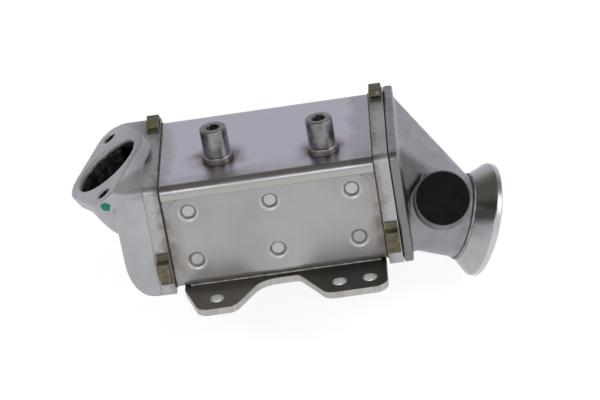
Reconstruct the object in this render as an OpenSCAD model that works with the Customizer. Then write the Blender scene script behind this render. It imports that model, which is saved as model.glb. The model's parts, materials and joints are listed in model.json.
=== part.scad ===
// Exhaust gas recirculation cooler: a brazed bundle of flat gas tubes in a coolant shell of folded
// sheet steel, with a cast inlet elbow on the left, a pressed outlet tank with a clamp flange on the
// right, a mounting bracket below and two threaded bosses on the lid.
// X runs along the core and Z is up. The front is -Y. The origin lies in the bracket's underside,
// below the middle of the core.

/* [Coolant shell] */
// Length of the shell between the two headers
shell_l = 130; // [120:1:170]
// Depth of the shell from front to rear, over the lid
shell_d = 96; // [90:1:115]
// Height of the shell
shell_h = 69; // [62:1:85]
// Thickness of the shell's sheet
sheet_t = 1.5; // [1:0.1:2]
// Outside radius of the shell's long bends
bend_r = 5.5; // [4:0.5:7]
// Straight part of the lid's skirt below its bend
lid_lap = 2.7; // [2:0.1:5]
// Height of the raised panel on the front
panel_rise = 0.5; // [0.3:0.1:1.2]
// Flat strip between the raised panel and the shell's ends
panel_margin = 4; // [3:0.5:8]
// Corner radius of the raised panel
panel_r = 9; // [4:0.5:12]

/* [Dimples] */
// Diameter of a dimple's flat floor
dimple_floor_d = 7.8; // [5:0.1:9]
// Diameter of a dimple where it meets the panel
dimple_mouth_d = 11.6; // [9.5:0.1:14]
// Depth of a dimple below the panel
dimple_depth = 2.4; // [1.5:0.1:3]
// Spacing of the three dimple columns
dimple_pitch_x = 49.3; // [36:0.1:52]
// Spacing of the two dimple rows
dimple_pitch_z = 32.8; // [24:0.1:36]

/* [Tube bundle] */
// Height of a flat gas tube
tube_h = 6; // [5:0.5:8]
// Wall of a gas tube
tube_t = 0.6; // [0.4:0.1:0.8]
// Coolant gap above, below and between the tubes
coolant_gap = 3; // [2:0.25:4]
// Coolant gap between the tubes' round edges and the shell
side_gap = 4.5; // [4:0.25:7]
// How far the tubes stand out of the header plates
tube_stand = 1; // [0.5:0.1:2]
// Thickness of the folded fin strip
fin_t = 0.4; // [0.2:0.1:0.6]
// Width of one fold of the fin strip
fin_pitch = 4; // [3:0.25:6]
// Gap that the braze fills round a joined piece
braze_gap = 0.1; // [0.05:0.01:0.2]

/* [Headers] */
// Width of a header's band along the core
header_w = 8.6; // [7:0.1:12]
// Thickness of a header's tube plate
plate_t = 2.5; // [1.5:0.1:4]
// How far a header's band stands proud of the shell
band_proud = 2.5; // [1:0.1:4]
// Wall of a header's band
band_wall = 4; // [3.2:0.1:6]
// Outside corner radius of a header's band
band_r = 5; // [3:0.5:7]

/* [Retaining clips] */
// Length of a clip
clip_l = 21; // [16:0.5:24]
// Width of a clip along the core
clip_w = 7.5; // [5:0.5:8.5]
// Thickness of a clip's strip
clip_t = 1.3; // [0.8:0.1:1.8]
// Height of a clip over its feet
clip_rise = 5; // [3.5:0.1:7]
// Length of a clip's feet
clip_foot = 4.2; // [3:0.1:5]
// Slant of a clip's two risers
clip_slant = 1.2; // [0.5:0.1:2]
// Distance of the front and rear clips from the header's corner
clip_inset_side = 9.5; // [4:0.5:14]
// Distance of the top and bottom clips from the header's corner
clip_inset_top = 3; // [2:0.5:14]

/* [Inlet elbow] */
// Bore of the gas inlet
inlet_d = 44; // [36:0.5:46]
// Tilt of the inlet flange from level, to the left
inlet_tilt = 31; // [25:1:36]
// Distance of the flange's centre from the left header
inlet_out = 24.6; // [22:0.1:28]
// Depth of the flange's centre below the top of the shell
inlet_drop = 1.6; // [0:0.1:4]
// Thickness of the inlet flange
inlet_flange_t = 9; // [6:0.5:10]
// Radius of the inlet flange round its bore
inlet_flange_r = 28.6; // [27:0.1:32]
// Spacing of the inlet flange's two holes
inlet_hole_pitch = 75; // [72:0.5:84]
// Diameter of the inlet flange's holes
inlet_hole_d = 8.5; // [6:0.1:10]
// Radius of the inlet flange's lobes
inlet_lobe_r = 11; // [9:0.1:13]
// Wall of the casting
elbow_wall = 4.5; // [3.5:0.1:6]
// Wall of the casting's neck, measured from the bore
neck_wall = 4; // [3.6:0.1:5]
// How far the cast passage below the flange stands back from the bore
neck_relief = 1; // [0.5:0.1:1.5]
// Reach of the hood at the top of the shell
hood_top = 20.6; // [19:0.1:28]
// Reach of the hood at the bottom of the shell
hood_foot = 19.6; // [16:0.1:22]
// Radius of the hood's heel
hood_heel_r = 22; // [12:0.5:26]
// Radius of the hood's upright edges
hood_edge_r = 13; // [6:0.5:15]

/* [Outlet tank] */
// Thickness of the tank's lip
tank_lip_t = 5.8; // [3:0.1:7]
// Groove between the lip and the right header
tank_groove = 0.4; // [0.3:0.1:0.9]
// Depth of the tank's skirt inside the header's band
tank_skirt = 4; // [2:0.5:4.5]
// Wall of the tank
tank_wall = 2; // [1.5:0.1:2.6]
// Step from the lip to the funnel at the top and bottom
funnel_step = 4; // [3:0.25:7]
// Step from the lip to the funnel at the front and rear
funnel_step_side = 6.5; // [4:0.25:8]
// Outside diameter of the neck
neck_d = 52; // [46:0.5:58]
// Distance of the neck's weld from the lip
neck_out = 31.2; // [28:0.1:36]
// Height of the neck's weld above the bottom of the shell
neck_rise = -1.7; // [-4:0.1:4]
// Tilt of the neck below level
neck_tilt = 23; // [18:0.5:26]
// Turn of the neck to the rear
neck_turn = 8; // [0:0.5:10]
// Length of the neck's round end
neck_l = 3; // [2:0.5:5]

/* [Clamp flange] */
// Diameter of the clamp flange's rim
clamp_d = 70; // [64:0.5:78]
// Length of the clamp flange's cone
clamp_cone_l = 11; // [8:0.5:14]
// Width of the clamp flange's rim
clamp_rim_w = 3.6; // [2.5:0.1:6]
// Diameter of the locating lip on the clamp flange's face
clamp_lip_d = 60; // [54:0.5:62]
// Height of the locating lip
clamp_lip_h = 2; // [1:0.1:3]

/* [Port and plug] */
// Distance of the port's mouth upstream of the neck's weld
port_back = 9; // [7:0.1:12]
// Distance of the port's mouth in front of the tank's side
port_front = 12.3; // [11:0.1:14.5]
// Height of the port's mouth above the neck's weld
port_up = 36.4; // [34:0.1:38]
// Slope of the port's axis, upwards
port_lean = 31; // [28:1:36]
// Turn of the port's axis, to the right
port_turn = 10; // [8:1:16]
// Outside diameter of the port's collar
port_d = 34; // [30:0.5:36]
// Wall of the port's collar
port_wall = 3; // [2:0.1:4]
// Diameter of the plug's head
plug_d = 32; // [28:0.5:34]
// Height of the plug's head
plug_head_h = 3; // [2:0.1:5]
// Depth of the plug in the collar
plug_depth = 9; // [6:0.5:10]
// Depth of the dish in the plug's head
plug_dish = 0.4; // [0.2:0.1:1]
// Wall of the plug
plug_wall = 2.2; // [1.5:0.1:3]
// Play between the plug and the collar
plug_play = 0.15; // [0.1:0.01:0.3]

/* [Threaded bosses] */
// Diameter of a boss
boss_d = 16.3; // [14:0.1:20]
// Height of a boss
boss_h = 21; // [14:0.5:26]
// Core diameter of a boss's thread
boss_thread_d = 6.8; // [5:0.1:8.5]
// Diameter of the countersink at the mouth of the thread
boss_mouth_d = 8.6; // [8.6:0.1:10]
// Solid floor below a boss's thread
boss_floor = 3; // [2:0.5:5]
// Chamfer on a boss's top edge
boss_chamfer = 0.8; // [0.4:0.1:1.5]
// Place of the left boss along the shell
boss_left_x = -28.6; // [-40:0.1:-15]
// Place of the left boss from the middle of the lid
boss_left_y = -16; // [-30:0.5:30]
// Place of the right boss along the shell
boss_right_x = 35.4; // [15:0.1:45]
// Place of the right boss from the middle of the lid
boss_right_y = -24; // [-30:0.5:30]

/* [Mounting bracket] */
// Thickness of the bracket's plate
bracket_t = 4.5; // [3:0.1:6]
// How far the ears stand out in front of the shell
ear_out = 28.5; // [23:0.5:34]
// Distance of the holes in front of the shell
ear_hole_out = 16; // [13:0.5:19]
// Diameter of the bracket's holes
ear_hole_d = 8.5; // [6:0.1:10]
// Distance of the left ear's hole from the shell's left end
ear_hole_left_x = 25; // [23:0.1:29]
// Distance of the right ear's inner hole from the shell's right end
ear_hole_inner_x = 30.8; // [29:0.1:33]
// Distance of the right ear's outer hole from the shell's right end
ear_hole_outer_x = 12.4; // [12:0.1:15]
// Width of the left ear at its tip
ear_left_w = 22; // [20:0.5:26]
// Distance along the core from the left ear's tip to its root
ear_splay = 9; // [5:0.5:11]
// Distance along the core over which the ears flare into the plate
ear_flare = 16.2; // [12:0.1:18]
// Distance of the plate's right end from the outer hole
ear_right_edge = 10.6; // [10:0.1:12]
// Corner radius of the ears
ear_r = 8; // [4:0.5:9]
// Radius of the sweep from the left ear to the plate
sweep_left_r = 16; // [6:0.5:18]
// Radius of the sweep from the right ear to the plate
sweep_right_r = 5; // [3:0.5:8]
// How far the plate stands out of the shell between the ears
bracket_step = 1; // [0.5:0.1:2]
// Corner radius of the plate below the shell
bracket_r = 3; // [1:0.5:5]
// Depth of the plate below the shell
bracket_d = 52; // [40:1:70]

/* [Coolant pipes] */
// Outside diameter of a coolant pipe
pipe_d = 19; // [14:0.5:22]
// Wall of a coolant pipe
pipe_wall = 1.5; // [1:0.1:2]
// How far a coolant pipe stands out of the shell
pipe_out = 27; // [20:0.5:40]
// Height of the hose bead on a coolant pipe
pipe_bead = 1.2; // [0.6:0.1:2]
// Distance of the bead from the pipe's end
pipe_bead_from_end = 5; // [4:0.5:8]
// Distance of each coolant pipe from the shell's end
pipe_inset = 19; // [17:0.5:30]
// Height of each coolant pipe from the middle of the shell
pipe_z = 8; // [4:0.5:16]

/* [Hidden] */
$fn = 64;
// Sides of the round shapes inside a hull
hull_fn = 40;
// Overshoot of a cut past a face
cut = 1;
// Ledge where the funnel runs into the lip's opening and into the round neck
ledge = 0.4;

// Shell
shell_z = bracket_t;
shell_top = shell_z + shell_h;
shell_mid = shell_z + shell_h / 2;
shell_end = shell_l / 2;
body_d = shell_d - 2 * sheet_t;
front_y = -body_d / 2;
seam_z = shell_top - bend_r - lid_lap;
panel_z0 = shell_z + bend_r;
panel_h = seam_z - panel_z0;

// Tube bundle
inner_h = shell_h - 2 * sheet_t;
tube_pitch = tube_h + coolant_gap;
tube_n = floor((inner_h - coolant_gap) / tube_pitch);
tube_w = body_d - 2 * sheet_t - 2 * side_gap;
tube_l = shell_l + 2 * plate_t + 2 * tube_stand;
fin_h = tube_h - 2 * tube_t - 2 * braze_gap;
fin_folds = floor((tube_w - tube_h) / fin_pitch);

// Headers
header_end = shell_end + header_w;
band_d = shell_d + 2 * band_proud;
band_h = shell_h + 2 * band_proud;
mouth_d = band_d - 2 * band_wall;
mouth_h = band_h - 2 * band_wall;
mouth_r = max(band_r - band_wall, 1);
band_z = shell_mid - band_h / 2;

// Bracket: places of the ears' holes along the core
left_hole_x = ear_hole_left_x - shell_end;
inner_hole_x = shell_end - ear_hole_inner_x;
outer_hole_x = shell_end - ear_hole_outer_x;

// Coolant pipes
pipe_x = shell_end - pipe_inset;

// Clips: distance of each clip's middle from the header's middle
clip_side = band_h / 2 - clip_inset_side - clip_l / 2;
clip_top = band_d / 2 - clip_inset_top - clip_l / 2;

// Inlet elbow
inlet_centre = [-header_end - inlet_out, 0, shell_top - inlet_drop];
neck_r = inlet_d / 2 + neck_wall;
// How far the hood and neck are drawn on above the shell, to be cut along the flange
inlet_reach = 2 * inlet_out;
// Height above the shell's bottom at which the neck's chin runs out into the hood
neck_runout = 0.37 * shell_h;
// Rise of the neck's chin for each millimetre to the left
chin_slope = 0.5;

// Outlet tank
lip_x = header_end + tank_groove;
funnel_x = lip_x + tank_lip_t;
neck_centre = [funnel_x + neck_out, 0, shell_z + neck_rise];
funnel_d = band_d - 2 * funnel_step_side;
funnel_h = band_h - 2 * funnel_step;
funnel_r = band_r + funnel_step / 2;
opening_d = funnel_d - 2 * tank_wall - 2 * ledge;
opening_h = funnel_h - 2 * tank_wall - 2 * ledge;

// Port: the tank's side beside it, its mouth's middle, and a collar that reaches through the wall
tank_side = neck_d / 2 + (funnel_d - neck_d) / 2 * port_back / neck_out;
port_l = tank_side + port_front;
port_mouth = neck_centre + [-port_back, -port_l, port_up];

tubes = [for (i = [1:tube_n]) str("gas_tube_", i)];
fins = [for (i = [1:tube_n]) str("tube_fin_", i)];
clip_n = 8;
clips = [for (i = [1:clip_n]) str("retaining_clip_", i)];

// Unit vector along v
function unit(v) = v / norm(v);

// Points of an arc of radius r about a centre, from one angle over a turn
function arc(centre, r, start, turn, steps = 12) =
    [for (i = [0:steps]) centre + r * [cos(start + turn * i / steps), sin(start + turn * i / steps)]];

// Points of an arc of radius r in the corner b of the path a, b, c
function corner(a, b, c, r) =
    let (
        to_a = unit(a - b),
        to_c = unit(c - b),
        half = acos(to_a * to_c) / 2,
        middle = b + unit(to_a + to_c) * r / sin(half),
        from = b + to_a * r / tan(half) - middle,
        to = b + to_c * r / tan(half) - middle,
        start = atan2(from[1], from[0]),
        turn = (atan2(to[1], to[0]) - start + 540) % 360 - 180
    )
    arc(middle, r, start, turn);

// Outline through the points, with the corner at each point rounded by its radius
function rounded(points, radii) =
    let (n = len(points))
    [for (i = [0:n - 1])
        each radii[i] == 0
            ? [points[i]]
            : corner(points[(i + n - 1) % n], points[i], points[(i + 1) % n], radii[i])];

// Rectangle with round corners, about its middle
module round_rect(w, h, r) {
    square([w - 2 * r, h], center = true);
    square([w, h - 2 * r], center = true);
    for (x = [-1, 1], y = [-1, 1])
        translate([x * (w / 2 - r), y * (h / 2 - r)]) circle(r);
}

// Slot with round ends, about its middle, w over all
module slot(w, h) {
    square([w - h, h], center = true);
    for (x = [-1, 1])
        translate([x * (w - h) / 2, 0]) circle(h / 2);
}

// Runs a section in Y and Z along the core, from x
module along_x(x, l) {
    translate([x, 0, 0]) rotate([90, 0, 90]) linear_extrude(l) children();
}

// Runs a side view in X and Z across the part, w wide about its middle
module across_y(w) {
    translate([0, w / 2, 0]) rotate([90, 0, 0]) linear_extrude(w) children();
}

// Section of the shell, inset from its outside
module shell_section(w, inset) {
    translate([0, shell_mid]) round_rect(w - 2 * inset, shell_h - 2 * inset, bend_r - inset);
}

module dimple_places() {
    for (x = [-1, 0, 1], z = [-1, 1])
        translate([x * dimple_pitch_x, front_y - panel_rise, shell_mid + z * dimple_pitch_z / 2])
            rotate([-90, 0, 0]) children();
}

module coolant_pipe_place(side) {
    translate([side * pipe_x, -front_y, shell_mid + side * pipe_z]) rotate([-90, 0, 0]) children();
}

// Lower sheet, folded to a U, with the raised panel and its dimples on the front
module shell_body() {
    wall_top = shell_top - bend_r;
    color("silver") difference() {
        union() {
            along_x(-shell_end, shell_l) difference() {
                shell_section(body_d, 0);
                shell_section(body_d, sheet_t);
                translate([-shell_d, wall_top]) square([2 * shell_d, shell_h]);
            }
            translate([0, front_y + sheet_t / 2, panel_z0 + panel_h / 2])
                rotate([90, 0, 0])
                    linear_extrude(sheet_t / 2 + panel_rise)
                        round_rect(shell_l - 2 * panel_margin, panel_h, panel_r);
            dimple_places()
                translate([0, 0, panel_rise + sheet_t / 2])
                    cylinder(
                        h = dimple_depth - panel_rise + sheet_t / 2,
                        d1 = dimple_mouth_d + sheet_t,
                        d2 = dimple_floor_d + sheet_t
                    );
        }
        dimple_places() cylinder(h = dimple_depth, d1 = dimple_mouth_d, d2 = dimple_floor_d);
        for (side = [-1, 1])
            coolant_pipe_place(side)
                translate([0, 0, -sheet_t - cut])
                    cylinder(h = sheet_t + 2 * cut, d = pipe_d + 2 * braze_gap);
    }
}

// Upper sheet, folded down over the body's walls
module shell_lid() {
    color("lightgray") along_x(-shell_end, shell_l) difference() {
        shell_section(shell_d, 0);
        shell_section(shell_d, sheet_t);
        translate([-shell_d, seam_z - shell_h]) square([2 * shell_d, shell_h]);
    }
}

module tube_places() {
    for (i = [1:tube_n])
        translate([0, tube_z(i)]) children();
}

// Height of a tube's middle, counted from below
function tube_z(i) = shell_mid + (i - (tube_n + 1) / 2) * tube_pitch;

// Frame round a tube plate, drawn on the right and turned round for the left
module header(side) {
    color("darkgray") rotate([0, 0, side < 0 ? 180 : 0]) difference() {
        along_x(shell_end, header_w) translate([0, shell_mid]) round_rect(band_d, band_h, band_r);
        along_x(shell_end + plate_t, header_w)
            translate([0, shell_mid]) round_rect(mouth_d, mouth_h, mouth_r);
        along_x(shell_end - cut, plate_t + 2 * cut)
            tube_places() slot(tube_w + 2 * braze_gap, tube_h + 2 * braze_gap);
    }
}

// Flat gas tube, open at both ends
module gas_tube(i) {
    color("gainsboro") along_x(-tube_l / 2, tube_l) translate([0, tube_z(i)]) difference() {
        slot(tube_w, tube_h);
        slot(tube_w - 2 * tube_t, tube_h - 2 * tube_t);
    }
}

// Folded fin strip inside a gas tube
module tube_fin(i) {
    crest = (fin_h - fin_t) / 2;
    folds = [for (k = [0:2 * fin_folds]) [(k - fin_folds) * fin_pitch / 2, (k % 2 == 0 ? -1 : 1) * crest]];
    upper = [for (p = folds) p + [0, fin_t / 2]];
    lower = [for (k = [len(folds) - 1:-1:0]) folds[k] - [0, fin_t / 2]];
    color("gray") along_x(-shell_end, shell_l) translate([0, tube_z(i)]) polygon(concat(upper, lower));
}

// Bent strip with two feet, lying on the XY plane, bridging along X
module clip() {
    half = clip_l / 2;
    knee = half - clip_foot;
    shoulder = knee - clip_slant;
    outer = [
        [-half, 0], [-half, clip_t], [-knee, clip_t], [-shoulder, clip_rise],
        [shoulder, clip_rise], [knee, clip_t], [half, clip_t], [half, 0]
    ];
    inner = [
        [knee - clip_t, 0], [shoulder - clip_t, clip_rise - clip_t],
        [clip_t - shoulder, clip_rise - clip_t], [clip_t - knee, 0]
    ];
    translate([0, clip_w / 2, 0]) rotate([90, 0, 0]) linear_extrude(clip_w) polygon(concat(outer, inner));
}

// Clips 1 to 4 go round the left header and 5 to 8 round the right one: front, top, rear, bottom
module retaining_clip(i) {
    side = i <= clip_n / 2 ? -1 : 1;
    quarter = (i - 1) % 4;
    out = quarter % 2 == 0 ? band_d / 2 : band_h / 2;
    along = quarter % 2 == 0 ? -clip_side : clip_top;
    lie = quarter < 2 ? along : -along;
    turn = 90 - 90 * quarter;
    color("darkolivegreen")
        translate([side * (shell_end + header_w / 2), 0, shell_mid])
            rotate([turn, 0, 0])
                translate([0, lie, out]) rotate([0, 0, 90]) clip();
}

// Side view of the hood, seen from the front, inset from its outside
module hood_side(inset) {
    foot = hood_foot - inset;
    base = band_z + inset;
    lean = (hood_top - hood_foot) / shell_h;
    head = shell_top + inlet_reach;
    points = [
        [hood_heel_r, base],
        [-foot, base],
        [-foot - lean * (head - base), head],
        [hood_heel_r, head]
    ];
    translate([-header_end, 0]) polygon(rounded(points, [0, hood_heel_r - inset, 0, 0]));
}

// Plan of the hood, inset from its outside
module hood_plan(inset) {
    reach = hood_top - inset;
    half = band_d / 2 - inset;
    points = [[cut, -half], [cut, half], [-reach, half], [-reach, -half]];
    translate([-header_end, 0])
        polygon(rounded(points, [0, 0, hood_edge_r - inset / 2, hood_edge_r - inset / 2]));
}

// Box form of the hood, running past the header's face by the cut
module hood_form(inset) {
    intersection() {
        across_y(2 * shell_d) hood_side(inset);
        linear_extrude(2 * shell_h) hood_plan(inset);
        along_x(-header_end - hood_top - inlet_reach, hood_top + inlet_reach + cut)
            translate([0, shell_mid])
                round_rect(band_d - 2 * inset, band_h - 2 * inset, max(band_r - inset, ledge));
    }
}

// Side view of the room that the round neck may fill, down to where it runs out into the hood
module neck_side(inset) {
    foot = hood_foot - inset;
    low = shell_z + neck_runout + inset;
    head = shell_top + inlet_reach;
    far = 2 * inlet_reach;
    points = [[0, low], [-foot, low], [-far, low + chin_slope * (far - foot)], [-far, head], [0, head]];
    translate([-header_end, 0]) polygon(points);
}

// Frame of the inlet flange: the origin in its face, Z along the bore
module at_inlet() {
    translate(inlet_centre) rotate([0, -inlet_tilt, 0]) children();
}

// Two-bolt outline: a middle circle and two lobes along Y with tangent sides
module two_bolt(r, lobe_r, pitch) {
    lean = asin((r - lobe_r) / (pitch / 2));
    lobe = [0, pitch / 2];
    polygon(concat(
        arc([0, 0], r, -lean, 2 * lean),
        arc(lobe, lobe_r, lean, 180 - 2 * lean),
        arc([0, 0], r, 180 - lean, 2 * lean),
        arc(-lobe, lobe_r, 180 + lean, 180 - 2 * lean)
    ));
}

// Casting: a hood on the left header that turns up into a round neck and the two-bolt flange
module inlet_elbow() {
    color("gainsboro") difference() {
        union() {
            intersection() {
                hood_form(0);
                translate([-header_end - 2 * inlet_reach, -shell_d, 0])
                    cube([2 * inlet_reach, 2 * shell_d, 2 * shell_h]);
            }
            intersection() {
                across_y(2 * shell_d) neck_side(0);
                at_inlet() translate([0, 0, -shell_h]) cylinder(h = shell_h, r = neck_r);
            }
            at_inlet()
                translate([0, 0, -inlet_flange_t])
                    linear_extrude(inlet_flange_t)
                        two_bolt(inlet_flange_r, inlet_lobe_r, inlet_hole_pitch);
        }
        hood_form(elbow_wall);
        intersection() {
            across_y(2 * shell_d) translate([-cut, 0]) neck_side(elbow_wall);
            at_inlet()
                translate([0, 0, -shell_h])
                    cylinder(h = shell_h - inlet_flange_t, r = inlet_d / 2 + neck_relief);
        }
        at_inlet() {
            translate([-shell_h, -shell_d, 0]) cube([2 * shell_h, 2 * shell_d, shell_h]);
            translate([0, 0, -inlet_flange_t - cut]) cylinder(h = inlet_flange_t + 2 * cut, d = inlet_d);
            for (y = [-1, 1])
                translate([0, y * inlet_hole_pitch / 2, -inlet_flange_t - cut])
                    cylinder(h = inlet_flange_t + 2 * cut, d = inlet_hole_d);
        }
    }
}

// Frame of the neck: the origin in its weld, Z along the gas flow
module at_neck() {
    translate(neck_centre) rotate([0, 90 + neck_tilt, neck_turn]) children();
}

// Funnel from the lip's opening to the neck, inset from its outside
module funnel_form(inset) {
    hull() {
        along_x(funnel_x - tank_lip_t / 2, tank_lip_t / 2)
            translate([0, shell_mid])
                round_rect(funnel_d - 2 * inset, funnel_h - 2 * inset, funnel_r - inset, $fn = hull_fn);
        at_neck()
            translate([0, 0, -neck_l])
                cylinder(h = neck_l / 2, r = neck_d / 2 - inset - ledge, $fn = hull_fn);
    }
}

// Room inside the tank, from the skirt's mouth to the end of the neck
module tank_room() {
    along_x(lip_x - tank_groove - tank_skirt - cut, tank_skirt + tank_groove + tank_lip_t + cut)
        translate([0, shell_mid])
            round_rect(opening_d, opening_h, funnel_r - tank_wall - ledge);
    funnel_form(tank_wall);
    at_neck() translate([0, 0, -neck_l]) cylinder(h = neck_l + cut, d = neck_d - 2 * tank_wall);
}

// Frame of the port: the origin in its mouth, Z out of the tank
module at_port() {
    translate(port_mouth) rotate([90 - port_lean, 0, port_turn]) children();
}

// Pressed tank: a lip with a skirt in the header's band, the funnel and the round end of the neck
module outlet_tank() {
    color("silver") difference() {
        union() {
            along_x(lip_x, tank_lip_t) translate([0, shell_mid]) round_rect(band_d, band_h, band_r);
            along_x(lip_x - tank_groove - tank_skirt, tank_skirt + tank_groove)
                translate([0, shell_mid])
                    round_rect(mouth_d - 2 * braze_gap, mouth_h - 2 * braze_gap, mouth_r);
            funnel_form(0);
            at_neck() translate([0, 0, -neck_l]) cylinder(h = neck_l, d = neck_d);
        }
        tank_room();
        at_port() translate([0, 0, -port_l]) cylinder(h = port_l + cut, d = port_d + 2 * braze_gap);
    }
}

// Turned flange for a clamp band, with a cone, a rim and a locating lip
module clamp_flange() {
    bore_r = neck_d / 2 - tank_wall;
    face = clamp_cone_l + clamp_rim_w;
    color("silver") at_neck() rotate_extrude() polygon([
        [bore_r, 0],
        [neck_d / 2, 0],
        [clamp_d / 2, clamp_cone_l],
        [clamp_d / 2, face],
        [clamp_lip_d / 2, face],
        [clamp_lip_d / 2, face + clamp_lip_h],
        [bore_r, face + clamp_lip_h]
    ]);
}

// Turned collar, cut along the inside of the tank
module port_collar() {
    color("silver") difference() {
        at_port() translate([0, 0, -port_l]) difference() {
            cylinder(h = port_l, d = port_d);
            translate([0, 0, -cut]) cylinder(h = port_l + 2 * cut, d = port_d - 2 * port_wall);
        }
        tank_room();
    }
}

// Push-in plug: a head with a shallow dish over a hollow spigot
module port_plug() {
    spigot_r = port_d / 2 - port_wall - plug_play;
    dish_r = spigot_r - plug_wall;
    dish_floor = plug_head_h - plug_dish;
    color("#1a1c1d") at_port() rotate_extrude() polygon([
        [0, dish_floor],
        [dish_r, dish_floor],
        [dish_r, plug_head_h],
        [plug_d / 2, plug_head_h],
        [plug_d / 2, 0],
        [spigot_r, 0],
        [spigot_r, -plug_depth],
        [dish_r, -plug_depth],
        [dish_r, dish_floor - plug_wall],
        [0, dish_floor - plug_wall]
    ]);
}

// Turned boss with a blind threaded hole, standing on the lid
module boss(x, y) {
    r = boss_d / 2;
    thread_r = boss_thread_d / 2;
    mouth_r = boss_mouth_d / 2;
    color("gray") translate([x, y, shell_top]) rotate_extrude() polygon([
        [0, 0],
        [r, 0],
        [r, boss_h - boss_chamfer],
        [r - boss_chamfer, boss_h],
        [mouth_r, boss_h],
        [thread_r, boss_h - mouth_r + thread_r],
        [thread_r, boss_floor],
        [0, boss_floor]
    ]);
}

// Flat plate welded below the shell, with one ear on the left and a wider one on the right
module mounting_bracket() {
    shell_front = -shell_d / 2;
    tip = shell_front - ear_out;
    hole_y = shell_front - ear_hole_out;
    left_tip = left_hole_x - ear_left_w / 2;
    left_root = left_tip - ear_splay;
    left_inner = left_tip + ear_left_w;
    right_end = outer_hole_x + ear_right_edge;
    right_inner = inner_hole_x - ear_r;
    gap_y = shell_front - bracket_step;
    outline = [
        [left_root, shell_front + bracket_d],
        [left_root, shell_front],
        [left_tip, tip],
        [left_inner, tip],
        [left_inner + ear_flare, gap_y],
        [right_inner - ear_flare, gap_y],
        [right_inner, tip],
        [right_end, tip],
        [right_end, shell_front + bracket_d]
    ];
    radii = [
        bracket_r, bracket_r, ear_r, ear_r, sweep_left_r,
        sweep_right_r, ear_r, ear_r, bracket_r
    ];
    color("dimgray") difference() {
        linear_extrude(bracket_t) polygon(rounded(outline, radii));
        for (x = [left_hole_x, inner_hole_x, outer_hole_x])
            translate([x, hole_y, -cut]) cylinder(h = bracket_t + 2 * cut, d = ear_hole_d);
    }
}

// Coolant pipe with a hose bead, brazed into the rear of the shell
module coolant_pipe(side) {
    r = pipe_d / 2;
    bead = pipe_out - pipe_bead_from_end;
    bead_ramp = 2 * pipe_bead;
    bead_flat = pipe_bead / 2;
    color("silver") coolant_pipe_place(side) difference() {
        union() {
            translate([0, 0, -sheet_t]) cylinder(h = pipe_out + sheet_t, r = r);
            translate([0, 0, bead]) rotate_extrude() polygon([
                [0, -bead_ramp], [r, -bead_ramp], [r + pipe_bead, -bead_flat],
                [r + pipe_bead, bead_flat], [r, bead_ramp], [0, bead_ramp]
            ]);
        }
        translate([0, 0, -sheet_t - cut]) cylinder(h = pipe_out + sheet_t + 2 * cut, r = r - pipe_wall);
    }
}

shell_body();
shell_lid();
header(-1);  // header_left
header(1);  // header_right
for (i = [1:tube_n])
    gas_tube(i);
for (i = [1:tube_n])
    tube_fin(i);
for (i = [1:clip_n])
    retaining_clip(i);
inlet_elbow();
outlet_tank();
clamp_flange();
port_collar();
port_plug();
boss(boss_left_x, boss_left_y);  // boss_left
boss(boss_right_x, boss_right_y);  // boss_right
mounting_bracket();
coolant_pipe(-1);  // coolant_inlet
coolant_pipe(1);  // coolant_outlet
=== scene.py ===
"""Looks of an exhaust gas recirculation cooler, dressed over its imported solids, in metres."""
import json
import math

import bmesh
import bpy
import numpy as np
from mathutils import Matrix, Vector
from mathutils.bvhtree import BVHTree


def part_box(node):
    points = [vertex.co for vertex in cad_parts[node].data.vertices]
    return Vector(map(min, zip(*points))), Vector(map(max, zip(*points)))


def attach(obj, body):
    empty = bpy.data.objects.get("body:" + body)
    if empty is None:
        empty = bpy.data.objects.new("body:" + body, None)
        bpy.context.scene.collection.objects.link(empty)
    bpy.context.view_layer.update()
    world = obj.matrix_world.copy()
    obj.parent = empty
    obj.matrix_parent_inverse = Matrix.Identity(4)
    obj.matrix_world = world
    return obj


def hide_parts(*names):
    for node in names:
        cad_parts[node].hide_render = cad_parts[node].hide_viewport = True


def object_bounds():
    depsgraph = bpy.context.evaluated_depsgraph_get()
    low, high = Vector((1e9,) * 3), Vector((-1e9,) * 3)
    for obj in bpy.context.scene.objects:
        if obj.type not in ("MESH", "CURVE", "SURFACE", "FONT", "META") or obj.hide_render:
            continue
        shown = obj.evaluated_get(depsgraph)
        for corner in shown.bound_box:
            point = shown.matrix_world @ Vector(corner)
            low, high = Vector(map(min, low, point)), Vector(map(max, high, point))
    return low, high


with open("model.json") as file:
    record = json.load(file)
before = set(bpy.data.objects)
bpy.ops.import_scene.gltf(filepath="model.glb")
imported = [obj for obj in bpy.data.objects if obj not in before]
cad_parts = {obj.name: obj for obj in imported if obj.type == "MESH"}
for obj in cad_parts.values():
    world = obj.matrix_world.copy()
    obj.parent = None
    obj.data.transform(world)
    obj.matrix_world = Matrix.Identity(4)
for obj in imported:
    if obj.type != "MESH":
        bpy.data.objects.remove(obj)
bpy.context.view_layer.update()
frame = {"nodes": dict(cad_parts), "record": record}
mounts = {mount["name"]: mount for mount in frame["record"]["mounts"]}
MM = 0.001


# Tube bundle: seven flat gas tubes, each with a folded fin strip inside.
# Rolled stainless strip, brazed into both headers in one furnace run, so it is dull and a little brown.
# The solids stay as they are, because only the tubes' mouths can be seen, through the inlet's bore.
def bare_material(name, metallic, roughness):
    """New material; returns it with its tree, its shader and its Object coordinates."""
    material = bpy.data.materials.new(name)
    material.use_nodes = True
    tree = material.node_tree
    shader = tree.nodes["Principled BSDF"]
    shader.inputs["Metallic"].default_value = metallic
    shader.inputs["Roughness"].default_value = roughness
    place = tree.nodes.new("ShaderNodeTexCoord").outputs["Object"]
    return material, tree, shader, place


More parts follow.
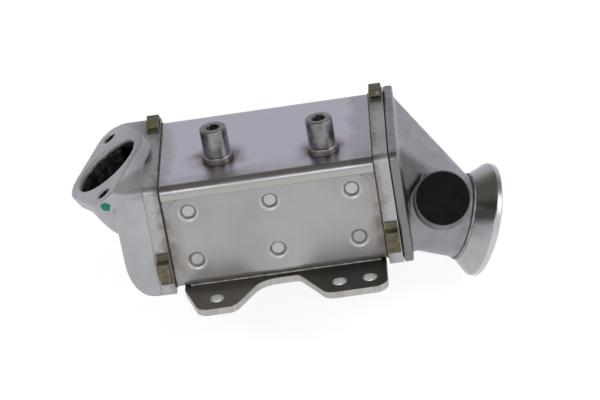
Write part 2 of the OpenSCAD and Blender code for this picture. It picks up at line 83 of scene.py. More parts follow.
def stretched(tree, place, scale):
    """Coordinates with each axis scaled, for streaks and grain."""
    mapping = tree.nodes.new("ShaderNodeMapping")
    mapping.inputs["Scale"].default_value = scale
    tree.links.new(place, mapping.inputs["Vector"])
    return mapping.outputs["Vector"]


def noise(tree, place, scale, detail=3.0):
    """Noise at a number of features per metre."""
    node = tree.nodes.new("ShaderNodeTexNoise")
    node.inputs["Scale"].default_value = scale
    node.inputs["Detail"].default_value = detail
    tree.links.new(place, node.inputs["Vector"])
    return node.outputs["Fac"]


def span(tree, value, low, high, at_low=0.0, at_high=1.0):
    """Maps a value smoothly from low and high to two results."""
    node = tree.nodes.new("ShaderNodeMapRange")
    node.interpolation_type = "SMOOTHSTEP"
    for name, number in zip(("From Min", "From Max", "To Min", "To Max"), (low, high, at_low, at_high)):
        node.inputs[name].default_value = number
    tree.links.new(value, node.inputs["Value"])
    return node.outputs["Result"]


def reckon(tree, operation, first, second):
    """Math on two values, each a socket or a number."""
    node = tree.nodes.new("ShaderNodeMath")
    node.operation = operation
    for socket, value in zip(node.inputs, (first, second)):
        if isinstance(value, (int, float)):
            socket.default_value = value
        else:
            tree.links.new(value, socket)
    return node.outputs["Value"]


def blended(tree, share, under, over):
    """Colour that goes from under to over as share goes from 0 to 1."""
    node = tree.nodes.new("ShaderNodeMix")
    node.data_type = "RGBA"
    tree.links.new(share, node.inputs["Factor"])
    for socket, colour in zip((node.inputs[6], node.inputs[7]), (under, over)):
        if isinstance(colour, tuple):
            socket.default_value = (*colour, 1.0)
        else:
            tree.links.new(colour, socket)
    return node.outputs[2]


def raised(tree, shader, height, depth, strength=1.0):
    """Bump of a real depth in metres on the shader."""
    node = tree.nodes.new("ShaderNodeBump")
    node.inputs["Strength"].default_value = strength
    node.inputs["Distance"].default_value = depth
    tree.links.new(height, node.inputs["Height"])
    tree.links.new(node.outputs["Normal"], shader.inputs["Normal"])


def coated(piece, material):
    """Gives a piece one finish."""
    piece.data.materials.clear()
    piece.data.materials.append(material)
    return piece


brazed, tree, shader, place = bare_material("brazed_strip", 0.9, 0.5)
drawn = stretched(tree, place, (20.0, 400.0, 400.0))
tint = span(tree, noise(tree, place, 60.0), 0.35, 0.7)
tree.links.new(blended(tree, tint, (0.30, 0.28, 0.26), (0.22, 0.17, 0.12)), shader.inputs["Base Color"])
raised(tree, shader, noise(tree, drawn, 3.0), 0.0001, 0.4)
for name, node in frame["nodes"].items():
    if name.startswith(("gas_tube", "tube_fin")):
        coated(node, brazed)


# Headers: a frame round a tube plate at each end of the shell.
# Stainless steel with broken edges, brazed to the shell and browned by the furnace near its joints.
join_reach = 0.002 * MM


def merged(node):
    """Form of a CAD node with its loose triangles joined."""
    form = bmesh.new()
    form.from_mesh(frame["nodes"][node].data)
    bmesh.ops.remove_doubles(form, verts=form.verts, dist=join_reach)
    return form


def piece_of(form, name):
    """New piece of the scene with a form's mesh."""
    mesh = bpy.data.meshes.new(name)
    form.to_mesh(mesh)
    form.free()
    piece = bpy.data.objects.new(name, mesh)
    bpy.context.scene.collection.objects.link(piece)
    return piece


def dressed(node, edge, segments=3, bend=24.0, press=None):
    """Copy of a CAD node, pressed where asked, with its edges broken; it stands for the node."""
    form = merged(node)
    bmesh.ops.dissolve_limit(form, angle_limit=math.radians(0.6), verts=form.verts, edges=form.edges)
    if press:
        press(form)
    piece = piece_of(form, node + "_finished")
    breaking = piece.modifiers.new("broken_edges", "BEVEL")
    breaking.width = edge
    breaking.segments = segments
    breaking.limit_method = "ANGLE"
    breaking.angle_limit = math.radians(bend)
    weighting = piece.modifiers.new("even_shading", "WEIGHTED_NORMAL")
    weighting.keep_sharp = True
    return settled(piece, node)


def settled(piece, *replaced):
    """Turns a piece's modifiers into a plain smooth mesh and lets it stand for CAD nodes."""
    for polygon in piece.data.polygons:
        polygon.use_smooth = True
    plain = bpy.data.meshes.new_from_object(piece.evaluated_get(bpy.context.evaluated_depsgraph_get()))
    piece.modifiers.clear()
    piece.data = plain
    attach(piece, "root")
    if replaced:
        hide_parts(*replaced)
    return piece


def axes_of(tree, place):
    """Coordinates along X, Y and Z, each as a value of its own."""
    node = tree.nodes.new("ShaderNodeSeparateXYZ")
    tree.links.new(place, node.inputs["Vector"])
    return node.outputs


def product(tree, *shares):
    """Shares multiplied with each other; the first is a socket, the rest sockets or numbers."""
    result = shares[0]
    for share in shares[1:]:
        result = reckon(tree, "MULTIPLY", result, share)
    return result


header_edge = 0.9 * MM
lid_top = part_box("shell_lid")[1].z
browned, tree, shader, place = bare_material("browned_header", 0.7, 0.42)
axes = axes_of(tree, place)
cloud = noise(tree, place, 45.0, 5.0)
scale_spots = span(tree, cloud, 0.42, 0.68)
over_top = span(tree, axes["Z"], lid_top - 3 * MM, lid_top + 1 * MM)
joint_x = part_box("shell_lid")[1].x
by_joint = span(tree, reckon(tree, "ABSOLUTE", axes["X"], 0.0), joint_x + 4.5 * MM, joint_x)
darkening = reckon(tree, "MAXIMUM", product(tree, over_top, 0.1), product(tree, by_joint, 0.7))
tint = product(tree, darkening, reckon(tree, "ADD", product(tree, scale_spots, 0.7), 0.3))
colour = blended(tree, tint, (0.46, 0.455, 0.465), (0.21, 0.175, 0.14))
near_joint = span(tree, reckon(tree, "ABSOLUTE", axes["X"], 0.0), joint_x + 8 * MM, joint_x, 0.08, 0.5)
residue = product(tree, span(tree, noise(tree, place, 150.0, 5.0), 0.5, 0.64), near_joint)
colour = blended(tree, residue, colour, (0.17, 0.14, 0.105))
tree.links.new(colour, shader.inputs["Base Color"])
tree.links.new(span(tree, cloud, 0.3, 0.8, 0.36, 0.52), shader.inputs["Roughness"])
raised(tree, shader, noise(tree, place, 900.0), 0.00006, 0.5)
for node in ("header_left", "header_right"):
    coated(dressed(node, header_edge), browned)


# Shell body: the lower sheet, folded to a U, with a raised panel and six dimples pressed into its front.
# Bare stainless sheet, semi-gloss from the rolls, with drawing streaks along the core.
# A dimple has a round shoulder with a painted highlight, a steep wall darkened by dirt and painted shade
# down to its root, and a flat floor.
sheet_edge = 0.35 * MM
panel_edge = 0.7 * MM
pressed, tree, shader, place = bare_material("pressed_stainless", 0.55, 0.4)
axes = axes_of(tree, place)
streaks = noise(tree, stretched(tree, place, (12.0, 260.0, 260.0)), 4.0, 4.0)
cloud = noise(tree, place, 22.0, 4.0)
low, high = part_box("shell_body")
panel_y = low.y
# Stains near both ends; along the foot of the sheet, dirt and painted shade.
ends = span(tree, reckon(tree, "ABSOLUTE", axes["X"], 0.0), high.x - 12 * MM, high.x)
foot = span(tree, axes["Z"], low.z + 6 * MM, low.z + 2 * MM)
patchy = span(tree, noise(tree, place, 90.0, 5.0), 0.36, 0.6, 0.2, 1.0)
stain_and_foot_shade = product(tree, reckon(tree, "MAXIMUM", ends, foot), patchy)
sheen = blended(tree, span(tree, cloud, 0.3, 0.7), (0.405, 0.397, 0.384), (0.485, 0.478, 0.475))
sheen = blended(tree, stain_and_foot_shade, sheen, (0.25, 0.21, 0.165))
dimple_pitch, dimple_row = 49.3 * MM, 16.4 * MM
column = tree.nodes.new("ShaderNodeMath")
column.operation = "WRAP"
tree.links.new(axes["X"], column.inputs[0])
column.inputs[1].default_value = dimple_pitch / 2
column.inputs[2].default_value = -dimple_pitch / 2
core_z = (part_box("header_left")[0].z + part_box("header_left")[1].z) / 2
row = reckon(tree, "ABSOLUTE", reckon(tree, "SUBTRACT", axes["Z"], core_z), 0.0)
row = reckon(tree, "SUBTRACT", row, dimple_row)
column_square = reckon(tree, "POWER", column.outputs["Value"], 2.0)
row_square = reckon(tree, "POWER", row, 2.0)
radius = reckon(tree, "SQRT", reckon(tree, "ADD", column_square, row_square), 0.0)
# Dark ring of dirt and painted shade over each dimple's root and steep wall.
ring_inside = span(tree, radius, 3.5 * MM, 3.9 * MM)
ring_outside = span(tree, radius, 5.0 * MM, 4.5 * MM)
ring_dirt_and_shade = reckon(tree, "MINIMUM", ring_inside, ring_outside)
on_front = span(tree, axes["Y"], panel_y + 9 * MM, panel_y + 5 * MM)
ring_dirt_and_shade = product(tree, ring_dirt_and_shade, on_front, 0.6)
sheen = blended(tree, ring_dirt_and_shade, sheen, (0.2, 0.185, 0.16))
rubbed = product(tree, span(tree, radius, 3.7 * MM, 3.2 * MM), on_front)
sheen = blended(tree, product(tree, rubbed, 0.75), sheen, (0.62, 0.62, 0.615))
# Painted highlight: a lighter ring on each dimple's shoulder.
highlight_inside = span(tree, radius, 4.7 * MM, 5.0 * MM)
highlight_outside = span(tree, radius, 6.6 * MM, 6.0 * MM)
shoulder_highlight = product(tree, reckon(tree, "MINIMUM", highlight_inside, highlight_outside), on_front, 0.5)
sheen = blended(tree, shoulder_highlight, sheen, (0.72, 0.72, 0.71))
tree.links.new(sheen, shader.inputs["Base Color"])
tree.links.new(span(tree, cloud, 0.3, 0.75, 0.33, 0.43), shader.inputs["Roughness"])
raised(tree, shader, streaks, 0.00005, 0.35)

# Section of a dimple from its mouth to its floor: slope in degrees and length of each stretch
shoulder = ((10, 0.25 * MM), (20, 0.25 * MM), (33, 1.4 * MM), (48, 0.25 * MM))
root = ((49, 0.15 * MM), (33, 0.15 * MM), (16, 0.15 * MM))
wall_slope = 65
dimple_floor = 3.6 * MM
dimple_depth = 2.4 * MM
plain_mouth = 5.9 * MM
depth_slack = 0.01 * MM
drop = sum(length * math.sin(math.radians(slope)) for slope, length in shoulder + root)
wall = (dimple_depth - drop) / math.sin(math.radians(wall_slope))
dimple_section = (*shoulder, (wall_slope, wall), *root)
dimple_mouth = dimple_floor + sum(length * math.cos(math.radians(slope)) for slope, length in dimple_section)


def in_dimple(vertex, middle):
    """Whether a point of the sheet is on the plain cone or the floor of the dimple at a place."""
    away = vertex.co - middle
    return math.hypot(away.x, away.z) < plain_mouth and away.y < dimple_depth + depth_slack


def set_ring(rim, middle, reach, depth):
    """Moves a loop's points to a circle of that reach about a dimple's middle, at that depth."""
    for vertex in {vertex for edge in rim for vertex in edge.verts}:
        away = vertex.co - middle
        away.y = 0.0
        vertex.co = middle + away.normalized() * reach + Vector((0.0, depth, 0.0))


def press_dimples(form):
    """Gives each dimple its pressed section in place of a plain cone."""
    for column, side in ((column, side) for column in (-1, 0, 1) for side in (-1, 1)):
        middle = Vector((column * dimple_pitch, panel_y, core_z + side * dimple_row))
        cone = [face for face in form.faces if all(in_dimple(vertex, middle) for vertex in face.verts)]
        bmesh.ops.delete(form, geom=cone, context="FACES")
        rim = [edge for edge in form.edges if edge.is_boundary]
        reach, depth = dimple_mouth, 0.0
        set_ring(rim, middle, reach, depth)
        for slope, length in dimple_section:
            grown = bmesh.ops.extrude_edge_only(form, edges=rim)["geom"]
            rim = [part for part in grown if isinstance(part, bmesh.types.BMEdge) and part.is_boundary]
            reach -= length * math.cos(math.radians(slope))
            depth += length * math.sin(math.radians(slope))
            set_ring(rim, middle, reach, depth)
        bmesh.ops.holes_fill(form, edges=rim, sides=0)
    bmesh.ops.recalc_face_normals(form, faces=form.faces)


coated(dressed("shell_body", panel_edge, 4, press=press_dimples), pressed)


# Shell lid: the upper sheet, folded down over the body's walls and brazed along the lap.
# The same stainless sheet, with oxide colours in rings round the two bosses' welds and along its right end.
tinted, tree, shader, place = bare_material("tinted_lid", 1.0, 0.3)
axes = axes_of(tree, place)
streaks = noise(tree, stretched(tree, place, (12.0, 260.0, 260.0)), 4.0, 4.0)
cloud = noise(tree, place, 26.0, 4.0)
waver = product(tree, reckon(tree, "SUBTRACT", noise(tree, place, 70.0, 4.0), 0.5), 16 * MM)
colour = blended(tree, span(tree, cloud, 0.3, 0.7), (0.50, 0.495, 0.545), (0.60, 0.595, 0.655))
for boss in ("boss_left_thread", "boss_right_thread"):
    reach = tree.nodes.new("ShaderNodeVectorMath")
    reach.operation = "DISTANCE"
    tree.links.new(stretched(tree, place, (1.0, 1.0, 0.0)), reach.inputs[0])
    reach.inputs[1].default_value = (*mounts[boss]["pos_m"][:2], 0.0)
    away = reckon(tree, "ADD", reach.outputs["Value"], waver)
    purple = span(tree, away, 21 * MM, 12 * MM)
    brown = span(tree, away, 15 * MM, 9 * MM)
    colour = blended(tree, product(tree, purple, 0.7), colour, (0.33, 0.28, 0.33))
    colour = blended(tree, product(tree, brown, 0.85), colour, (0.17, 0.125, 0.10))
left_end, right_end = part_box("shell_lid")[0].x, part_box("shell_lid")[1].x
edge = reckon(tree, "ADD", axes["X"], waver)
smoked = span(tree, edge, left_end + 10 * MM, left_end + 5 * MM)
colour = blended(tree, product(tree, smoked, 0.5), colour, (0.33, 0.31, 0.325))
baked = span(tree, edge, right_end - 16 * MM, right_end - 9 * MM)
colour = blended(tree, product(tree, baked, 0.45), colour, (0.27, 0.235, 0.245))
front_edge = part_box("shell_lid")[0].y
# Painted dark reflection in a cloudy band along the front bend.
bend_reflection = span(tree, reckon(tree, "ADD", axes["Y"], waver), front_edge + 20 * MM, front_edge + 8 * MM)
bend_reflection = product(tree, bend_reflection, span(tree, cloud, 0.35, 0.6, 0.15, 0.55))
colour = blended(tree, bend_reflection, colour, (0.28, 0.25, 0.255))
# Painted shade: below the bend the sides are darker and warmer than the lighter, lilac top.
shaded_sides = span(tree, axes["Z"], lid_top - 1.5 * MM, lid_top - 5 * MM)
colour = blended(tree, shaded_sides, colour, (0.40, 0.39, 0.365))
tree.links.new(colour, shader.inputs["Base Color"])
tree.links.new(span(tree, cloud, 0.3, 0.75, 0.26, 0.38), shader.inputs["Roughness"])
raised(tree, shader, streaks, 0.00003, 0.15)
coated(dressed("shell_lid", sheet_edge, 2), tinted)


# Retaining clips: bent strips that hold each header while it is brazed, four round each one.
# Spring steel strip with an olive-brown oxide skin, rubbed brighter in streaks.
clip_edge = 0.4 * MM
olive, tree, shader, place = bare_material("olive_clip", 0.8, 0.45)
cloud = noise(tree, place, 160.0, 4.0)
patches = blended(tree, span(tree, cloud, 0.35, 0.7), (0.10, 0.088, 0.052), (0.19, 0.17, 0.11))
rubs = noise(tree, stretched(tree, place, (1.0, 0.5, 0.5)), 420.0, 5.0)
patches = blended(tree, product(tree, span(tree, rubs, 0.56, 0.72), 0.7), patches, (0.42, 0.40, 0.33))
tree.links.new(patches, shader.inputs["Base Color"])
tree.links.new(span(tree, cloud, 0.3, 0.7, 0.35, 0.55), shader.inputs["Roughness"])
raised(tree, shader, noise(tree, place, 1400.0), 0.00005, 0.4)
for node in sorted(frame["nodes"]):
    if node.startswith("retaining_clip"):
        coated(dressed(node, clip_edge), olive)


# Inlet elbow: one casting, a hood over the left header that turns up into the two-bolt flange.
# Blasted light grey steel with run-out fillets at every inside corner; its gas side is black with soot.
def melted(node, grain, rounds, fill, wear, held=None):
    """Copy of a CAD node in one skin of even quads; rounds fill inside corners and wear outside edges."""
    piece = piece_of(merged(node), node + "_finished")
    skin = piece.modifiers.new("skin", "REMESH")
    skin.mode = "VOXEL"
    skin.voxel_size = grain
    mesh = bpy.data.meshes.new_from_object(piece.evaluated_get(bpy.context.evaluated_depsgraph_get()))
    piece.modifiers.clear()
    piece.data = mesh
    count = len(mesh.vertices)
    spots = np.empty(count * 3)
    mesh.vertices.foreach_get("co", spots)
    spots = spots.reshape(-1, 3)
    pairs = np.empty(len(mesh.edges) * 2, int)
    mesh.edges.foreach_get("vertices", pairs)
    start, end = pairs.reshape(-1, 2).T
    links = np.bincount(pairs, minlength=count)
    firm = np.ones(count) if held is None else 1.0 - held(spots)
    held_rate = 0.06
    for _ in range(rounds):
        pull = -spots
        for axis in range(3):
            total = np.bincount(start, spots[end, axis], count)
            total += np.bincount(end, spots[start, axis], count)
            pull[:, axis] += total / links
        normals = np.empty(count * 3)
        mesh.vertex_normals.foreach_get("vector", normals)
        hollow = np.einsum("ij,ij->i", pull, normals.reshape(-1, 3)) > 0
        rate = np.where(hollow, fill, wear) * firm + held_rate * (1 - firm)
        spots = spots + pull * rate[:, None]
        mesh.vertices.foreach_set("co", spots.ravel())
        mesh.update()
    return settled(piece, node)


bore_radius = mounts["gas_inlet"]["dims"]["r_mm"] * MM
bolts = mounts["inlet_bolts"]
inlet_face = Vector(bolts["pos_m"])
inlet_axis = Vector(bolts["axis"]).normalized()
hole_side = Vector((0.0, bolts["dims"]["pcd_mm"] / 2 * MM, 0.0))
hole_radius = bolts["dims"]["hole_r_mm"] * MM
machined_depth = 10 * MM
machined_skin = 1.2 * MM


def machined(spots):
    """Share by which each spot belongs to the flange's machined bore and holes, which keep their size."""
    share = np.zeros(len(spots))
    for centre, radius in (
        (inlet_face, bore_radius),
        (inlet_face + hole_side, hole_radius),
        (inlet_face - hole_side, hole_radius),
    ):
        offset = spots - np.array(centre)
        depth = offset @ np.array(inlet_axis)
        radial = np.linalg.norm(offset - depth[:, None] * np.array(inlet_axis), axis=1)
        share[(radial < radius + machined_skin) & (depth > -machined_depth)] = 1.0
    return share


casting = melted("inlet_elbow", grain=0.8 * MM, rounds=48, fill=0.5, wear=0.03, held=machined)

# The gas side is what can be seen from the hood's middle or from the bore's middle
openings = {opening["name"]: opening for opening in frame["record"]["physics"]["openings"]}
room = openings["inlet_room"]
room_middle = (Vector(room["box_m"][0]) + Vector(room["box_m"][1])) / 2
bore_middle = inlet_face - inlet_axis * machined_depth
skin_tree = BVHTree.FromPolygons(
    [vertex.co for vertex in casting.data.vertices],
    [polygon.vertices for polygon in casting.data.polygons],
)
soot_and_hole_shade = casting.data.attributes.new("soot_and_hole_shade", "FLOAT", "POINT")
soot_depth = 6 * MM
hole_shade = 0.7
sight_lift = 0.3 * MM
hole_lip = 1 * MM
hole_skin = 0.6 * MM
for vertex, mark in zip(casting.data.vertices, soot_and_hole_shade.data):
    spot = vertex.co + vertex.normal * sight_lift
    for middle in (room_middle, bore_middle):
        sight = middle - spot
        if sight.dot(vertex.normal) > 0 and skin_tree.ray_cast(spot, sight, sight.length)[0] is None:
            depth = (inlet_face - vertex.co).dot(inlet_axis)
            mark.value = max(mark.value, min(1.0, max(0.0, depth / soot_depth)))
    # Painted shade inside the two bolt holes, carried by the same mark as the soot.
    for centre in (inlet_face + hole_side, inlet_face - hole_side):
        offset = vertex.co - centre
        depth = -offset.dot(inlet_axis)
        if depth > hole_lip and (offset + inlet_axis * depth).length < hole_radius + hole_skin:
            mark.value = hole_shade

blasted, tree, shader, place = bare_material("blasted_casting", 0.5, 0.5)
cloud = noise(tree, place, 30.0, 4.0)
grain = noise(tree, place, 1500.0, 2.0)
smears = noise(tree, stretched(tree, place, (1.0, 1.0, 0.35)), 90.0, 5.0)
colour = blended(tree, span(tree, cloud, 0.3, 0.7), (0.50, 0.505, 0.53), (0.60, 0.61, 0.635))
colour = blended(tree, product(tree, span(tree, smears, 0.58, 0.75), 0.4), colour, (0.30, 0.30, 0.32))
axes = axes_of(tree, place)
# Near the header the hood's top and the flange's side wall are darker: partly heat stain, partly painted
# shade in the notch under the flange.
by_header = span(tree, axes["X"], inlet_face.x + 8 * MM, inlet_face.x + 24 * MM)
by_header = product(tree, by_header, span(tree, axes["Z"], lid_top - 6 * MM, lid_top - 1 * MM))
darkening = product(tree, by_header, span(tree, cloud, 0.25, 0.65, 0.15, 0.55))
colour = blended(tree, darkening, colour, (0.20, 0.175, 0.19))
# The mark blackens the gas side with soot and the bolt holes with painted shade.
marks = tree.nodes.new("ShaderNodeAttribute")
marks.attribute_name = "soot_and_hole_shade"
crust = noise(tree, place, 260.0, 5.0)
soot_and_shade = span(tree, reckon(tree, "ADD", marks.outputs["Fac"], product(tree, crust, 0.5)), 0.55, 0.85)
soot_and_shade_colour = blended(tree, span(tree, crust, 0.45, 0.65), (0.022, 0.021, 0.019), (0.10, 0.086, 0.066))
tree.links.new(blended(tree, soot_and_shade, colour, soot_and_shade_colour), shader.inputs["Base Color"])
tree.links.new(span(tree, grain, 0.3, 0.7, 0.42, 0.6), shader.inputs["Roughness"])
swell = product(tree, noise(tree, place, 65.0, 2.0), 14.0)
raised(tree, shader, reckon(tree, "ADD", grain, swell), 0.00012, 0.5)
coated(casting, blasted)


# Inspection dab: a spot of paint that an inspector left on the side of the front lobe.
# Green marker paint, laid on the casting's skin, thick in the middle and feathered at its edge.
dab_place = Vector((-97.0, -54.0, 67.6)) * MM
dab_radius = 2.9 * MM
dab_height = 0.18 * MM
dab_sink = 0.02 * MM
dab_rings = 7
dab_steps = 40
dab_stretch = 1.15


def painted_dab():
    """Thin irregular disc that follows the casting, thick in the middle and feathered at its edge."""
    spot, normal, _, _ = skin_tree.ray_cast(dab_place, Vector((0, 1, 0)))
    across = normal.cross(Vector((0, 0, 1))).normalized()
    upward = across.cross(normal)
    form = bmesh.new()
    rows = []
    for ring in range(dab_rings + 1):
        share = ring / dab_rings
        row = []
        for step in range(dab_steps):
            turn = 2 * math.pi * step / dab_steps
            radius = dab_radius * share * (1 + 0.1 * math.sin(2 * turn + 1) + 0.06 * math.sin(5 * turn))
            away = spot + (across * math.cos(turn) + upward * math.sin(turn) * dab_stretch) * radius
            foot = skin_tree.find_nearest(away)
            row.append(form.verts.new(foot[0] + foot[1] * (dab_height * (1 - share ** 4) - dab_sink)))
        rows.append(row)
    for inner, outer in zip(rows, rows[1:]):
        for step in range(dab_steps):
            after = (step + 1) % dab_steps
            form.faces.new((inner[step], outer[step], outer[after], inner[after]))
    bmesh.ops.remove_doubles(form, verts=form.verts, dist=join_reach)
    bmesh.ops.recalc_face_normals(form, faces=form.faces)
    return settled(piece_of(form, "inspection_dab"))


green, tree, shader, place = bare_material("green_marker", 0.0, 0.45)
cover = span(tree, noise(tree, place, 500.0, 3.0), 0.4, 0.65)
tree.links.new(blended(tree, cover, (0.0, 0.24, 0.17), (0.01, 0.31, 0.23)), shader.inputs["Base Color"])
raised(tree, shader, noise(tree, place, 900.0), 0.0001, 0.4)
coated(painted_dab(), green)


# Outlet tank: a lip at the right header and one pressed funnel down to a round neck.
# Deep-drawn steel sheet, semi-gloss, with soft ridges and a drawn-out grain.
lip_width = 10.2 * MM
lip_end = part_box("outlet_tank")[0].x + lip_width


def lip(spots):
    """Share by which each spot belongs to the lip, which was rolled sharp."""
    return (spots[:, 0] < lip_end).astype(float)


tank = melted("outlet_tank", grain=0.85 * MM, rounds=14, fill=0.5, wear=0.5, held=lip)
deep_drawn, tree, shader, place = bare_material("deep_drawn_tank", 0.95, 0.36)
cloud = noise(tree, place, 25.0, 5.0)
flow = noise(tree, stretched(tree, place, (0.4, 1.0, 1.0)), 240.0, 4.0)
colour = blended(tree, span(tree, cloud, 0.3, 0.7), (0.245, 0.24, 0.265), (0.30, 0.295, 0.32))
colour = blended(tree, product(tree, span(tree, flow, 0.55, 0.8), 0.35), colour, (0.17, 0.16, 0.15))
axes = axes_of(tree, place)
# Painted shade over the front of the funnel's upper half, past the lip.
at_front = span(tree, axes["Y"], -22 * MM, -38 * MM)
past_lip = span(tree, axes["X"], lip_end - 0.6 * MM, lip_end + 1.5 * MM)
upper_half = span(tree, axes["Z"], 18 * MM, 50 * MM)
painted_front_shade = product(tree, at_front, past_lip, upper_half)
colour = blended(tree, product(tree, painted_front_shade, 0.8), colour, (0.11, 0.102, 0.09))
lip_front = reckon(tree, "SUBTRACT", span(tree, axes["Y"], -48 * MM, -50 * MM), past_lip)
lip_front = product(tree, reckon(tree, "MAXIMUM", lip_front, 0.0), 0.5)
colour = blended(tree, lip_front, colour, (0.14, 0.143, 0.135))
tree.links.new(colour, shader.inputs["Base Color"])
tree.links.new(span(tree, flow, 0.3, 0.75, 0.3, 0.45), shader.inputs["Roughness"])
raised(tree, shader, flow, 0.00004, 0.2)
coated(tank, deep_drawn)


# Clamp flange: a cone, a rim and a locating lip, turned from bar and butt-welded to the neck.
# Machined steel with fine lathe rings about the neck's axis.
outlet = mounts["gas_outlet"]
neck_axis = Vector(outlet["axis"]).normalized()
neck_length = 3.0 * MM
bore_length = outlet["dims"]["length_mm"] * MM
neck_weld = Vector(outlet["pos_m"]) - neck_axis * (bore_length / 2 - neck_length)
flange_edge = 0.7 * MM
cone_length = 10.8 * MM
lathe_pitch = 2.2 * MM
wave_rate = 20.0


def lathe_rings(tree, place, centre, axis, pitch):
    """Fine rings round an axis, as a cutting tool leaves them; a wave turns wave_rate radians a metre."""
    turn = Vector(axis).rotation_difference(Vector((0, 0, 1))).to_matrix()
    mapping = tree.nodes.new("ShaderNodeMapping")
    mapping.inputs["Rotation"].default_value = turn.to_euler()
    mapping.inputs["Location"].default_value = -(turn @ Vector(centre))
    tree.links.new(place, mapping.inputs["Vector"])
    wave = tree.nodes.new("ShaderNodeTexWave")
    wave.wave_type = "RINGS"
    wave.rings_direction = "SPHERICAL"
    wave.inputs["Scale"].default_value = 2 * math.pi / (wave_rate * pitch)
    wave.inputs["Distortion"].default_value = 0.4
    tree.links.new(mapping.outputs["Vector"], wave.inputs["Vector"])
    return wave.outputs["Fac"]


turned_steel, tree, shader, place = bare_material("turned_steel", 1.0, 0.3)
cloud = noise(tree, place, 55.0, 4.0)
colour = blended(tree, span(tree, cloud, 0.35, 0.7), (0.37, 0.365, 0.375), (0.46, 0.455, 0.47))
axes = axes_of(tree, place)
# Painted dark reflection: a dark band across the middle of the cone.
band_below = span(tree, axes["Z"], 9 * MM, 14 * MM)
band_above = span(tree, axes["Z"], 25 * MM, 19 * MM)
dark_band_reflection = reckon(tree, "MINIMUM", band_below, band_above)
dark_band_reflection = product(tree, dark_band_reflection, span(tree, axes["Y"], -14 * MM, -22 * MM))
colour = blended(tree, product(tree, dark_band_reflection, 0.8), colour, (0.10, 0.096, 0.075))
along = tree.nodes.new("ShaderNodeVectorMath")
along.operation = "DOT_PRODUCT"
tree.links.new(place, along.inputs[0])
along.inputs[1].default_value = neck_axis
# Painted highlight: a lighter strip on the rim.
rim_start = neck_weld.dot(neck_axis) + cone_length
rim = span(tree, along.outputs["Value"], rim_start, rim_start + 0.6 * MM)
colour = blended(tree, rim, colour, (0.56, 0.56, 0.55))
tree.links.new(colour, shader.inputs["Base Color"])
tree.links.new(span(tree, cloud, 0.3, 0.7, 0.24, 0.36), shader.inputs["Roughness"])
rings = lathe_rings(tree, place, neck_weld, neck_axis, lathe_pitch)
raised(tree, shader, rings, 0.00003, 0.4)
coated(dressed("clamp_flange", flange_edge, 3), turned_steel)


# Neck weld: one bead round the joint of the neck and the clamp flange.
# Laid by machine, so it is a low even ridge with close ripples, browned beside it.
def socket_of(tree, name):
    """Identifier of a node group's input."""
    inputs = [item for item in tree.interface.items_tree if item.in_out == "INPUT"]
    return next(item.identifier for item in inputs if item.name == name)


